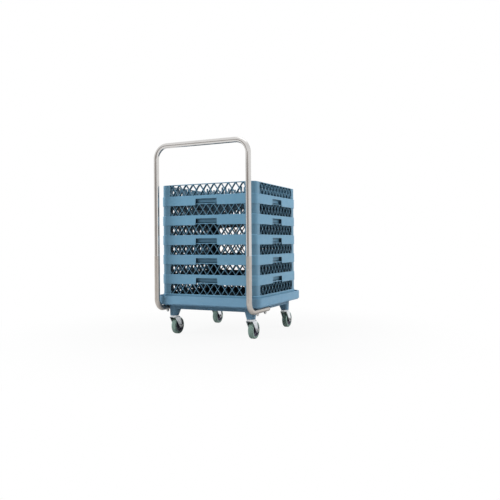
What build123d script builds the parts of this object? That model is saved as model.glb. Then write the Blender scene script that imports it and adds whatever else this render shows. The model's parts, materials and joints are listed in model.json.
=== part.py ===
from build123d import *
from math import atan2, degrees
import os

# Basket trolley: a wheeled plastic deck with a bent steel push handle,
# carrying a stack of square dishwasher baskets that nest into each other.
# Millimetres. X runs along the handle bar, Y points away from the person pushing, Z is up.
# The origin lies on the floor under the middle of the bounding box.

# Baskets
basket_side = 500.0
basket_corner_radius = 31.0
basket_count = 6
peg_basket_count = 2
skirt_height = 46.0
skirt_wall = 2.0
shoulder_drop = 2.8
shelf_thickness = 3.0
upper_inset = 2.8
wall_depth = 14.0
post_wall = 3.0
post_width = 53.7
lattice_height = 50.7
lattice_pitch = 37.2
lattice_rib = 2.3
rim_height = 3.0
floor_height = 8.0
floor_thickness = 6.0
floor_border = 19.0
floor_cell = 33.0
floor_rib = 3.0
notch_width = 114.0
notch_height = 30.0
notch_slope = 2.0
notch_depth = 15.0
notch_wall = 3.0
peg_base_radius = 5.0
peg_tip_radius = 4.0
peg_height = 70.0
peg_columns = 4
peg_rows = 12
peg_column_cells = 3
seat_gap = 0.3

# Deck
deck_basket_clearance = 14.0
rim_wall = 6.0
deck_corner_radius = 40.0
deck_rim_height = 37.0
deck_rim_drop = 2.0
ledge_width = 9.0
ledge_height = 8.0
tray_thickness = 6.0
frame_inset = 48.0
frame_wall = 6.0
frame_depth = 29.0
cross_rib_wall = 5.0
cross_rib_depth = 22.0
window_side = 64.0
window_pitch = 84.0
window_count = 5
window_corner_radius = 8.0
boss_side = 36.0
boss_corner_radius = 12.0
boss_height = 55.7
boss_spread = 22.0
boss_lean = 7.0

# Casters
caster_spacing = 408.0
caster_trail = 28.0
wheel_diameter = 80.0
tread_width = 25.0
tread_thickness = 10.0
tread_shoulder = 5.0
hub_width = 28.0
hub_radius = 12.0
web_thickness = 10.0
core_rim_thickness = 5.0
core_rim_width = 23.0
hub_side_gap = 1.5
axle_radius = 4.0
axle_fit = 0.05
sleeve_wall = 2.0
axle_head_radius = 7.0
axle_head_height = 4.5
axle_nut_flats = 13.0
axle_nut_height = 6.5
axle_end = 1.5
fork_sheet = 2.5
fork_crown_sheet = 3.0
fork_bend_radius = 5.0
fork_crown_front = 20.0
fork_crown_back = 22.0
fork_eye_radius = 13.0
crown_wheel_gap = 3.3
race_height = 2.7
race_radius = 20.5
race_gap = 0.3
ball_radius = 2.0
ball_groove_clearance = 0.1
ball_ring_radius = 15.0
ball_count = 12
stem_radius = 6.0
stem_fit = 0.05
stem_length = 28.0
stem_head_radius = 9.0
stem_head_height = 3.5
stem_head_gap = 0.3

# Handle
tube_radius = 12.5
tube_wall = 1.5
handle_width = 478.0
handle_height = 905.0
handle_standoff = 27.0
bow_bend_radius = 60.0
leg_bend_radius = 47.0
joint_height = 378.0
joint_gap = 0.4
leg_reach = 198.0
leg_seat_gap = 0.3
leg_pad_height = 3.2
leg_pad_length = 34.0
leg_pad_width = 24.0
sleeve_clearance = 0.1
sleeve_thickness = 1.5
sleeve_above = 45.0
sleeve_below = 80.0
screw_drop = 59.0
screw_radius = 2.5
screw_head_radius = 4.5
screw_head_height = 2.0
screw_length = 8.0
plug_flange = 3.0
plug_depth = 14.0
leg_bolt_radius = 4.0
leg_bolt_clearance = 0.3
leg_bolt_head_radius = 6.5
leg_bolt_head_height = 3.5
leg_bolt_front = 88.0
leg_bolt_spacing = 84.0
leg_nut_flats = 13.0
leg_nut_height = 6.5
leg_bolt_end = 4.0

# Sizes and places that follow from the ones above
basket_half = basket_side / 2
upper_half = basket_half - upper_inset
basket_height = skirt_height + lattice_height + rim_height
stack_pitch = basket_height + seat_gap - floor_height
lattice_half = basket_half - post_width

tray_inner_half = basket_half + deck_basket_clearance
deck_half = tray_inner_half + rim_wall
boss_bottom = wheel_diameter + crown_wheel_gap + fork_crown_sheet + 2 * race_height + race_gap
tray_bottom = boss_bottom + boss_height
tray_top = tray_bottom + tray_thickness
stack_bottom = tray_top + seat_gap
frame_half = deck_half - frame_inset
caster_offset = caster_spacing / 2

leg_x = handle_width / 2
leg_level = tray_bottom - leg_pad_height - leg_seat_gap - tube_radius
tube_bore = tube_radius - tube_wall

# The stack is centred on the deck; the deck is shifted so that the origin is mid-box.
handle_reach = deck_half + handle_standoff + tube_radius + screw_head_height
caster_reach = caster_offset + caster_trail + wheel_diameter / 2
deck_y = (handle_reach - max(deck_half, caster_reach)) / 2
leg_front_y = deck_y - deck_half - handle_standoff
leg_end_y = leg_front_y + leg_reach

# Pieces that are fused reach this far into each other, and cutters run right through.
OVERLAP = 1.0
THROUGH = 200.0


def rounded_block(half, radius, bottom, height):
    return Pos(0, 0, bottom) * extrude(RectangleRounded(2 * half, 2 * half, radius), height)


def rounded_ring(half, radius, wall, bottom, height):
    inner_radius = max(radius - wall, 1.0)
    outline = RectangleRounded(2 * half, 2 * half, radius)
    hole = RectangleRounded(2 * (half - wall), 2 * (half - wall), inner_radius)
    return Pos(0, 0, bottom) * extrude(outline - hole, height)


def polygon_wire(points):
    return Wire.make_polygon([Vector(*point) for point in points], close=True)


def four_sides(shape):
    return [Rot(0, 0, quarter * 90) * shape for quarter in range(4)]


# Lattice wall: a row of crosses between the corner posts, as one pierced plate.
def lattice_holes(bottom, top):
    middle = (bottom + top) / 2
    half_pitch = lattice_pitch / 2
    half_rise = (top - bottom) / 2
    diagonal = (half_pitch ** 2 + half_rise ** 2) ** 0.5
    rib_across = lattice_rib / 2 * diagonal / half_rise
    rib_up = lattice_rib / 2 * diagonal / half_pitch
    slope = half_rise / half_pitch
    count = int(2 * lattice_half // lattice_pitch)
    first = -(count - 1) / 2 * lattice_pitch
    last_corner = count / 2 * lattice_pitch
    holes = []
    for index in range(count):
        x = first + index * lattice_pitch
        for end, sign in ((top, 1), (bottom, -1)):
            apex = (x, middle + sign * rib_up)
            holes.append([apex, (x + half_pitch - rib_across, end), (x - half_pitch + rib_across, end)])
        if index < count - 1:
            centre = x + half_pitch
            holes.append([(centre - half_pitch + rib_across, middle), (centre, top - rib_up),
                          (centre + half_pitch - rib_across, middle), (centre, bottom + rib_up)])
    spare = lattice_half - last_corner
    for side in (-1, 1):
        cut_rise = half_rise - rib_up - spare * slope
        edge = side * lattice_half
        holes.append([(side * (last_corner - half_pitch + rib_across), middle),
                      (side * last_corner, top - rib_up), (edge, middle + cut_rise),
                      (edge, middle - cut_rise), (side * last_corner, bottom + rib_up)])
        corner = spare - rib_across
        if corner > lattice_rib:
            for end, sign in ((top, -1), (bottom, 1)):
                holes.append([(side * (last_corner + rib_across), end), (edge, end),
                              (edge, end + sign * corner * slope)])
    return holes


def lattice_wall():
    bottom = skirt_height
    top = skirt_height + lattice_height
    y = -upper_half
    reach = lattice_half + OVERLAP
    outline = [(-reach, bottom - OVERLAP), (reach, bottom - OVERLAP),
               (reach, top + OVERLAP), (-reach, top + OVERLAP)]
    outer = polygon_wire([(x, y, z) for x, z in outline])
    inner = [polygon_wire([(x, y, z) for x, z in hole]) for hole in lattice_holes(bottom, top)]
    return extrude(Face(outer, inner), amount=wall_depth, dir=(0, 1, 0))


# Basket floor: a square grid inside a solid border.
def grid_lines():
    edge = basket_half - floor_border
    narrowest_cell = floor_cell / 4
    lines = []
    step = floor_cell / 2
    while step < edge - narrowest_cell:
        lines += [-step, step]
        step += floor_cell
    return sorted(lines), edge


def basket_floor():
    lines, edge = grid_lines()
    spans = []
    for low, high in zip([-edge - floor_rib / 2] + lines, lines + [edge + floor_rib / 2]):
        spans.append((low + floor_rib / 2, high - floor_rib / 2))
    reach = basket_half - skirt_wall + OVERLAP
    outline = RectangleRounded(2 * reach, 2 * reach, basket_corner_radius - skirt_wall + OVERLAP)
    holes = []
    for i, (x0, x1) in enumerate(spans):
        for j, (y0, y1) in enumerate(spans):
            if i in (0, len(spans) - 1) and j in (0, len(spans) - 1):
                continue
            holes.append(polygon_wire([(x0, y0, 0), (x1, y0, 0), (x1, y1, 0), (x0, y1, 0)]))
    plate = Face(outline.face().outer_wire(), holes)
    return Pos(0, 0, floor_height) * extrude(plate, amount=floor_thickness, dir=(0, 0, 1))


# Finger notch: a recess in the middle of each skirt, open at the bottom.
def notch_profile(grow, low, high):
    y = -basket_half - OVERLAP
    half_low = notch_width / 2 + grow
    half_high = half_low - notch_slope
    foot = [(-half_low, y, low), (half_low, y, low)]
    return polygon_wire(foot + [(half_high, y, high), (-half_high, y, high)])


def notch_recess():
    face = Face(notch_profile(0, -OVERLAP, notch_height))
    return extrude(face, amount=notch_depth + OVERLAP, dir=(0, 1, 0))


def notch_shell():
    face = Face(notch_profile(notch_wall, floor_height, notch_height + notch_wall))
    whole = extrude(face, amount=notch_depth + notch_wall + OVERLAP, dir=(0, 1, 0))
    inside = rounded_block(basket_half - skirt_wall + OVERLAP, basket_corner_radius, 0, skirt_height)
    return whole & inside


def basket_skirt():
    skirt = rounded_ring(basket_half, basket_corner_radius, skirt_wall, 0, skirt_height - shoulder_drop)
    shelf_wall = upper_inset + wall_depth
    shelf_bottom = skirt_height - shoulder_drop - shelf_thickness
    shelf = rounded_ring(basket_half, basket_corner_radius, shelf_wall, shelf_bottom, shelf_thickness)
    outline = Pos(0, 0, skirt_height - shoulder_drop) * RectangleRounded(
        basket_side, basket_side, basket_corner_radius)
    shoulder = extrude(outline, amount=shoulder_drop, taper=degrees(atan2(upper_inset, shoulder_drop)))
    hollow = rounded_block(basket_half - shelf_wall, basket_corner_radius - shelf_wall,
                           0, skirt_height + OVERLAP)
    return skirt + shelf + (shoulder - hollow)


def corner_posts():
    tall = rounded_ring(upper_half, basket_corner_radius - upper_inset, post_wall,
                        skirt_height - OVERLAP, lattice_height + 2 * OVERLAP)
    gap = 2 * lattice_half
    middle = skirt_height + lattice_height / 2
    across = Pos(0, 0, middle) * Box(gap, basket_side, THROUGH)
    along = Pos(0, 0, middle) * Box(basket_side, gap, THROUGH)
    return tall - across - along


def basket_pegs():
    base = floor_height + floor_thickness
    pegs = []
    for column in range(peg_columns):
        x = (column - (peg_columns - 1) / 2) * peg_column_cells * floor_cell
        for row in range(peg_rows):
            y = (row - (peg_rows - 1) / 2) * floor_cell
            peg = Cone(peg_base_radius, peg_tip_radius, peg_height + OVERLAP,
                       align=(Align.CENTER, Align.CENTER, Align.MIN))
            pegs.append(Pos(x, y, base - OVERLAP) * peg)
    return pegs


def make_basket():
    body = basket_skirt() + basket_floor()
    body += four_sides(notch_shell())
    body -= four_sides(notch_recess())
    body += corner_posts()
    rim = rounded_ring(upper_half, basket_corner_radius - upper_inset, wall_depth,
                       skirt_height + lattice_height, rim_height)
    body += rim
    body += four_sides(lattice_wall())
    return body


# Deck: tray with a raised rim, pierced floor, under-frame and caster bosses.
def caster_places():
    return [(name, x * caster_offset, deck_y + y * caster_offset)
            for name, x, y in (("front_left", -1, -1), ("front_right", 1, -1),
                               ("back_left", -1, 1), ("back_right", 1, 1))]


def deck_boss(x_side, y_side):
    foot = Pos(0, 0, boss_bottom) * RectangleRounded(boss_side, boss_side, boss_corner_radius)
    wide = boss_side + boss_spread
    place = Pos(-x_side * boss_lean, -y_side * boss_lean, tray_bottom + OVERLAP)
    head = place * RectangleRounded(wide, wide, boss_corner_radius)
    bore = Pos(0, 0, boss_bottom) * Cylinder(stem_radius, stem_length,
                                             align=(Align.CENTER, Align.CENTER, Align.MIN))
    solid = loft([foot, head]) - bore
    return Pos(x_side * caster_offset, y_side * caster_offset, 0) * solid


def leg_bolt_places():
    places = []
    for x in (-leg_x, leg_x):
        for step in range(2):
            places.append((x, leg_front_y + leg_bolt_front + step * leg_bolt_spacing))
    return places


def make_deck():
    rim_bottom = stack_bottom - deck_rim_drop
    rim = rounded_ring(deck_half, deck_corner_radius, rim_wall, rim_bottom,
                       deck_rim_height + deck_rim_drop)
    inner_radius = deck_corner_radius - rim_wall
    ledge = rounded_ring(tray_inner_half + OVERLAP, inner_radius + OVERLAP, ledge_width + OVERLAP,
                         tray_top - OVERLAP, ledge_height + OVERLAP)
    tray = rounded_block(tray_inner_half, inner_radius, tray_bottom, tray_thickness)
    frame = rounded_ring(frame_half, inner_radius, frame_wall, tray_top - frame_depth, frame_depth)
    deck = tray + ledge + rim + frame
    rib_length = 2 * (frame_half - frame_wall / 2)
    ribs = []
    for index in range(window_count - 1):
        offset = (index - (window_count - 2) / 2) * window_pitch
        level = tray_bottom - cross_rib_depth / 2 + OVERLAP / 2
        height = cross_rib_depth + OVERLAP
        ribs.append(Pos(offset, 0, level) * Box(cross_rib_wall, rib_length, height))
        ribs.append(Pos(0, offset, level) * Box(rib_length, cross_rib_wall, height))
    deck += ribs
    windows = []
    last = window_count - 1
    for i in range(window_count):
        for j in range(window_count):
            if i in (0, last) and j in (0, last):
                continue
            x = (i - last / 2) * window_pitch
            y = (j - last / 2) * window_pitch
            window = extrude(RectangleRounded(window_side, window_side, window_corner_radius),
                             tray_thickness + 2 * OVERLAP)
            windows.append(Pos(x, y, tray_bottom - OVERLAP) * window)
    deck -= windows
    for x_side in (-1, 1):
        for y_side in (-1, 1):
            deck += deck_boss(x_side, y_side)
    deck = Pos(0, deck_y, 0) * deck
    for x, y in leg_bolt_places():
        pad = Box(leg_pad_width, leg_pad_length, leg_pad_height + OVERLAP,
                  align=(Align.CENTER, Align.CENTER, Align.MAX))
        deck += Pos(x, y, tray_bottom + OVERLAP) * pad
    for x, y in leg_bolt_places():
        deck -= Pos(x, y, tray_bottom) * Cylinder(leg_bolt_radius + leg_bolt_clearance, THROUGH)
    for _, x, y in caster_places():
        deck -= Pos(x, y, boss_bottom) * Cylinder(stem_radius, stem_length,
                                                  align=(Align.CENTER, Align.CENTER, Align.MIN))
    return deck


# Handle: an upper bow and two L-shaped legs of round tube.
def tube_along(path):
    start = Plane(origin=path @ 0, z_dir=path % 0)
    outer = sweep(start * Circle(tube_radius), path=path)
    inner = sweep(start * Circle(tube_bore), path=path)
    return outer - inner


def make_bow():
    top = handle_height - tube_radius
    low = joint_height + joint_gap
    path = FilletPolyline((-leg_x, leg_front_y, low), (-leg_x, leg_front_y, top),
                          (leg_x, leg_front_y, top), (leg_x, leg_front_y, low), radius=bow_bend_radius)
    return tube_along(path)


def make_leg(x):
    path = FilletPolyline((x, leg_front_y, joint_height), (x, leg_front_y, leg_level),
                          (x, leg_end_y, leg_level), radius=leg_bend_radius)
    leg = tube_along(path)
    for bolt_x, bolt_y in leg_bolt_places():
        if bolt_x == x:
            leg -= Pos(x, bolt_y, leg_level) * Cylinder(leg_bolt_radius + leg_bolt_clearance, THROUGH)
    return leg - screw_hole(x)


def screw_hole(x):
    hole = Cylinder(screw_radius, 2 * tube_radius)
    return Pos(x, leg_front_y - tube_radius, joint_height - screw_drop) * Rot(90, 0, 0) * hole


def make_joint_sleeve(x):
    radius = tube_bore - sleeve_clearance
    length = sleeve_above + sleeve_below
    place = Pos(x, leg_front_y, joint_height - sleeve_below)
    outer = Cylinder(radius, length, align=(Align.CENTER, Align.CENTER, Align.MIN))
    inner = Cylinder(radius - sleeve_thickness, length, align=(Align.CENTER, Align.CENTER, Align.MIN))
    return place * (outer - inner) - screw_hole(x)


def make_joint_screw(x):
    shank = Cylinder(screw_radius, screw_length, align=(Align.CENTER, Align.CENTER, Align.MIN))
    dome_radius = (screw_head_radius ** 2 + screw_head_height ** 2) / (2 * screw_head_height)
    cap = Pos(0, 0, dome_radius - screw_head_height) * Sphere(dome_radius)
    keep = Cylinder(screw_head_radius, screw_head_height, align=(Align.CENTER, Align.CENTER, Align.MAX))
    screw = shank + (cap & keep)
    place = Pos(x, leg_front_y - tube_radius, joint_height - screw_drop)
    return place * Rot(-90, 0, 0) * screw


def make_leg_plug(x):
    flange = Cylinder(tube_radius, plug_flange, align=(Align.CENTER, Align.CENTER, Align.MIN))
    stub = Cylinder(tube_bore - sleeve_clearance, plug_depth, align=(Align.CENTER, Align.CENTER, Align.MAX))
    return Pos(x, leg_end_y, leg_level) * Rot(-90, 0, 0) * (flange + stub)


def hexagon(flats, height):
    return extrude(RegularPolygon(flats / 2, 6, major_radius=False), height)


def make_leg_bolt(x, y):
    length = (tray_top - leg_level) + tube_radius + leg_seat_gap + leg_nut_height + leg_bolt_end
    shank = Cylinder(leg_bolt_radius, length, align=(Align.CENTER, Align.CENTER, Align.MAX))
    head = Cylinder(leg_bolt_head_radius, leg_bolt_head_height,
                    align=(Align.CENTER, Align.CENTER, Align.MIN))
    head = fillet(head.edges().group_by(Axis.Z)[-1], leg_bolt_head_height / 2)
    return Pos(x, y, tray_top) * (shank + head)


def make_leg_nut(x, y):
    level = leg_level - tube_radius - leg_seat_gap
    nut = Pos(0, 0, -leg_nut_height) * hexagon(leg_nut_flats, leg_nut_height)
    return Pos(x, y, level) * (nut - Cylinder(leg_bolt_radius, THROUGH))


# Casters: each is built about its own swivel axis and then moved to its boss.
wheel_radius = wheel_diameter / 2
upper_race_bottom = boss_bottom - race_height
lower_race_bottom = upper_race_bottom - race_gap - race_height
crown_bottom = lower_race_bottom - fork_crown_sheet
fork_inner = hub_width / 2 + hub_side_gap
fork_outer = fork_inner + fork_sheet
sleeve_radius = axle_radius + axle_fit + sleeve_wall
ball_level = upper_race_bottom - race_gap / 2
AXLE_PLACE = Pos(0, caster_trail, wheel_radius) * Rot(0, 90, 0)


def swivel_hole():
    return Cylinder(stem_radius + stem_fit, THROUGH)


def make_fork():
    height = lower_race_bottom
    outer = RectangleRounded(2 * fork_outer, 2 * height, fork_bend_radius)
    inner = RectangleRounded(2 * fork_inner, 2 * (height - fork_crown_sheet), fork_bend_radius - fork_sheet)
    bend = Plane.XZ * (outer - inner)
    sheet = extrude(bend, amount=THROUGH, both=True)
    top_front = (-fork_crown_front, lower_race_bottom)
    top_back = (fork_crown_back, lower_race_bottom)
    eye = Pos(caster_trail, wheel_radius) * Circle(fork_eye_radius)
    shape = make_hull([Line(top_front, top_back).edge()] + eye.edges())
    side = extrude(Plane.YZ * shape, amount=2 * fork_outer, both=True)
    fork = sheet & side
    hole = AXLE_PLACE * Cylinder(axle_radius + axle_fit, THROUGH)
    return fork - swivel_hole() - hole


def make_race(bottom):
    ring = Cylinder(race_radius, race_height, align=(Align.CENTER, Align.CENTER, Align.MIN))
    ring = fillet(ring.edges().group_by(Axis.Z)[0 if bottom < ball_level - race_height else -1],
                  race_height / 4)
    race = Pos(0, 0, bottom) * ring - swivel_hole()
    groove = Torus(ball_ring_radius, ball_radius + ball_groove_clearance)
    return race - Pos(0, 0, ball_level) * groove


def make_stem():
    head_top = crown_bottom - stem_head_gap
    shaft = Cylinder(stem_radius, boss_bottom + stem_length - head_top,
                     align=(Align.CENTER, Align.CENTER, Align.MIN))
    head = Cylinder(stem_head_radius, stem_head_height, align=(Align.CENTER, Align.CENTER, Align.MAX))
    head = fillet(head.edges().group_by(Axis.Z)[0], stem_head_height / 2)
    return Pos(0, 0, head_top) * (shaft + head)


def make_balls():
    balls = []
    for index in range(ball_count):
        turn = Rot(0, 0, index * 360 / ball_count)
        balls.append(Pos(0, 0, ball_level) * turn * Pos(ball_ring_radius, 0, 0) * Sphere(ball_radius))
    return balls


def make_axle_bolt():
    end = fork_outer + axle_nut_height + axle_end
    shank = Pos(0, 0, -fork_outer) * Cylinder(axle_radius, fork_outer + end,
                                              align=(Align.CENTER, Align.CENTER, Align.MIN))
    head = Cylinder(axle_head_radius, axle_head_height, align=(Align.CENTER, Align.CENTER, Align.MAX))
    head = fillet(head.edges().group_by(Axis.Z)[0], axle_head_height / 3)
    return AXLE_PLACE * (shank + Pos(0, 0, -fork_outer) * head)


def make_axle_nut():
    nut = Pos(0, 0, fork_outer) * hexagon(axle_nut_flats, axle_nut_height)
    return AXLE_PLACE * (nut - Cylinder(axle_radius, THROUGH))


def make_axle_sleeve():
    tube = Cylinder(sleeve_radius, 2 * fork_inner) - Cylinder(axle_radius + axle_fit, THROUGH)
    return AXLE_PLACE * tube


def make_wheel_core():
    bore = sleeve_radius + axle_fit
    tyre_inner = wheel_radius - tread_thickness
    rim_inner = tyre_inner - core_rim_thickness
    half_hub, half_web, half_rim = hub_width / 2, web_thickness / 2, core_rim_width / 2
    profile = Polyline((bore, -half_hub), (hub_radius, -half_hub), (hub_radius, -half_web),
                       (rim_inner, -half_web), (rim_inner, -half_rim), (tyre_inner, -half_rim),
                       (tyre_inner, half_rim), (rim_inner, half_rim), (rim_inner, half_web),
                       (hub_radius, half_web), (hub_radius, half_hub), (bore, half_hub), close=True)
    core = revolve(Plane.XZ * make_face(profile), axis=Axis.Z)
    return AXLE_PLACE * core


def make_tyre():
    inner = wheel_radius - tread_thickness
    band = Cylinder(wheel_radius, tread_width)
    band = fillet(band.edges().filter_by(GeomType.CIRCLE), tread_shoulder)
    return AXLE_PLACE * (band - Cylinder(inner, THROUGH))


def save(name, shape):
    export_step(shape, "parts/" + name + ".step")


def group(shapes):
    return Compound(children=list(shapes))


os.makedirs("parts", exist_ok=True)

save("deck", make_deck())
save("handle_bow", make_bow())
save("handle_leg_left", make_leg(-leg_x))
save("handle_leg_right", make_leg(leg_x))
save("joint_sleeves", group([make_joint_sleeve(x) for x in (-leg_x, leg_x)]))
save("joint_screws", group([make_joint_screw(x) for x in (-leg_x, leg_x)]))
save("leg_plugs", group([make_leg_plug(x) for x in (-leg_x, leg_x)]))
save("leg_bolts", group([make_leg_bolt(x, y) for x, y in leg_bolt_places()]))
save("leg_nuts", group([make_leg_nut(x, y) for x, y in leg_bolt_places()]))

stem, upper_race, balls = make_stem(), make_race(upper_race_bottom), make_balls()
places = [(name, Pos(x, y, 0)) for name, x, y in caster_places()]
save("caster_stems", group([place * stem for _, place in places]))
save("upper_races", group([place * upper_race for _, place in places]))
save("race_balls", group([place * ball for _, place in places for ball in balls]))

caster_pieces = {"fork": make_fork(), "lower_race": make_race(lower_race_bottom),
                 "axle_bolt": make_axle_bolt(), "axle_nut": make_axle_nut(),
                 "axle_sleeve": make_axle_sleeve(), "wheel_core": make_wheel_core(),
                 "tyre": make_tyre()}
for caster, place in places:
    for piece, shape in caster_pieces.items():
        save(piece + "_" + caster, place * shape)

open_basket = make_basket()
peg_basket = open_basket + basket_pegs()
for level in range(basket_count):
    pattern = peg_basket if level >= basket_count - peg_basket_count else open_basket
    save("basket_" + str(level + 1), Pos(0, deck_y, stack_bottom + level * stack_pitch) * pattern)

print("origin to deck centre", round(deck_y, 3), "stack bottom", round(stack_bottom, 3),
      "pitch", round(stack_pitch, 3), "leg level", round(leg_level, 3))
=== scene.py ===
import json
from contextlib import contextmanager
from math import pi, radians

import bmesh
import bpy
from bpy.props import FloatProperty, FloatVectorProperty, IntProperty, PointerProperty
from mathutils import Matrix, Vector


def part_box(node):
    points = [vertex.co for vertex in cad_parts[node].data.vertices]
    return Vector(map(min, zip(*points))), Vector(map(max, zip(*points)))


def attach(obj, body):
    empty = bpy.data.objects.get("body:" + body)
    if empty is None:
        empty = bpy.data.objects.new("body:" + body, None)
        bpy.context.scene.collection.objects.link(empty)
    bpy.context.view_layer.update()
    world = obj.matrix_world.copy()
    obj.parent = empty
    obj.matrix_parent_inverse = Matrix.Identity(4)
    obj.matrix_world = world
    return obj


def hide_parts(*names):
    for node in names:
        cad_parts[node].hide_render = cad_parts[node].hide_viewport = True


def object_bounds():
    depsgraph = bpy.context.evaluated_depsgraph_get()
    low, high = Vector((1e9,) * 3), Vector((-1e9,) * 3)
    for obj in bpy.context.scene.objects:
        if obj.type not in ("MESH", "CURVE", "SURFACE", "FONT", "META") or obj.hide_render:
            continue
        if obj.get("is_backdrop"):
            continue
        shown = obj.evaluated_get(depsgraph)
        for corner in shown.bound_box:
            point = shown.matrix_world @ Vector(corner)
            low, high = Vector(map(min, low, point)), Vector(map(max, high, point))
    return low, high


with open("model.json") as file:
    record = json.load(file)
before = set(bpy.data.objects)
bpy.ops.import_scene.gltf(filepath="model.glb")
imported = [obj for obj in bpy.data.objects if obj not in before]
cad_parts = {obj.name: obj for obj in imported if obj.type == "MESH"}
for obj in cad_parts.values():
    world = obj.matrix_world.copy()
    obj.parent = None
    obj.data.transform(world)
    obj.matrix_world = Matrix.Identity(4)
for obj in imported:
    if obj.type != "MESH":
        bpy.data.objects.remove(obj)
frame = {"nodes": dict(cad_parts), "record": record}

# Basket trolley: a wheeled plastic deck with a bent steel push handle,
# carrying a stack of square dishwasher baskets. Metres, X along the handle bar,
# Y away from the person pushing, Z up, origin on the floor under the middle.

bl_info = {
    "name": "Basket trolley",
    "version": (1, 0, 0),
    "blender": (4, 5, 0),
    "location": "View3D > Sidebar > Trolley",
    "description": "Models a wheeled deck with a push handle and a stack of dishwasher baskets",
    "category": "Object",
}

MM = 0.001
TINY = 1e-5
SENSOR = 36.0
PANEL_TAB = "Trolley"
QUARTER_TURN = pi / 2
ALONG_X = (0, QUARTER_TURN, 0)
ALONG_Y = (QUARTER_TURN, 0, 0)
UPRIGHT = (0, 0, 0)
WHITE = (1, 1, 1, 1)

# How far shapes that are joined or cut reach into or past each other.
UNDERLAP = 1 * MM

# Fasteners: thickness of a leg bolt's head, rounded share of a joint screw's head, chamfer of a nut
# and how many times as long as the nut the bar is that trims it.
LEG_BOLT_HEAD = 3.5 * MM
JOINT_SCREW_DOME = 0.92
NUT_CHAMFER = 0.35 * MM
TRIM_LENGTH = 1.02

# Shallow dishes of plugs and races: where each starts, as a share of the radius, and its step
# inward and outward.
DISH_START = 0.55
DISH_STEP = (0.4 * MM, -0.6 * MM)
RACE_START = 0.2
RACE_STEP = (0.5 * MM, -0.4 * MM)

# Thickness of the flat plate at the top of the outline that a fork is trimmed to.
HULL_PLATE = 0.1 * MM

# How far painted shade darkens the base colour of the faces inside, and each kind of face's share
# of that painted shade.
PAINTED_SHADE_LAYER = "inner"
PAINTED_SHADE_DEPTH = 0.88
OPEN_TOP_SHADE = 0.72
POST_SHADE = 0.22
FLOOR_SHADE = 0.85
RIB_TOP_SHADE = 0.8
PEG_SHADE = 0.6
GRIP_SHADE = 0.32
UNDERSIDE_SHADE = 0.3

# How far a face's normal points up or outwards before it counts as doing so.
UPWARD = 0.5
PARTLY_UP = 0.3
OUTWARD = 0.6
SIDEWAYS = 0.2

# Where noise mostly lies between 0 and 1, and the pointiness of a slightly and a fully worn edge.
NOISE_RANGE = (0.3, 0.7)
EDGE_POINTINESS = (0.52, 0.62)

# Studio: each softbox has its width and height, its place, and whether shiny surfaces show it.
SOFTBOXES = {
    "side": ((2.2, 2.2), (2.9, 1.15, 1.75), False),
    "front": ((2.8, 2.4), (-1.9, -2.4, 2.35), False),
    "back": ((2.4, 2.2), (-1.7, 2.7, 1.9), False),
    "top": ((2.0, 2.0), (0.3, 0.2, 3.2), True),
}
CARD_PLACE = (-0.5, -3.2, 0.45)
CARD_SIZE = (5.8, 1.8)
CARD_TINT = (1.0, 0.93, 0.88)

# How far the floor lies under the wheels, so that the two don't flicker.
FLOOR_DROP = 0.1 * MM

# Distances from the floor's middle between which it fades to white, for the camera and in mirrors,
# and how white it is in mirrors at the middle.
FLOOR_FADE = (0.3, 1.3)
MIRROR_FADE = (0.2, 0.6)
MIRROR_SHARE = 0.1

BODIES = frame["record"]["behaviour"]["bodies"]
BODY_OF = {node: body for body, nodes in BODIES.items() for node in nodes}
BASKETS = sorted(node for node in frame["nodes"] if node.startswith("basket_"))
CASTERS = ("front_left", "front_right", "back_left", "back_right")


def distance(name, description, millimetres):
    return FloatProperty(name=name, description=description, default=millimetres * MM, min=0.0,
                         precision=4, unit="LENGTH", subtype="DISTANCE")


def colour(name, description, default):
    return FloatVectorProperty(name=name, description=description, default=default, size=3,
                               min=0.0, max=1.0, subtype="COLOR")


def share(name, description, default):
    return FloatProperty(name=name, description=description, default=default, min=0.0, max=1.0,
                         subtype="FACTOR")


def power(name, description, default):
    return FloatProperty(name=name, description=description, default=default, min=0.0, unit="POWER")


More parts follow.
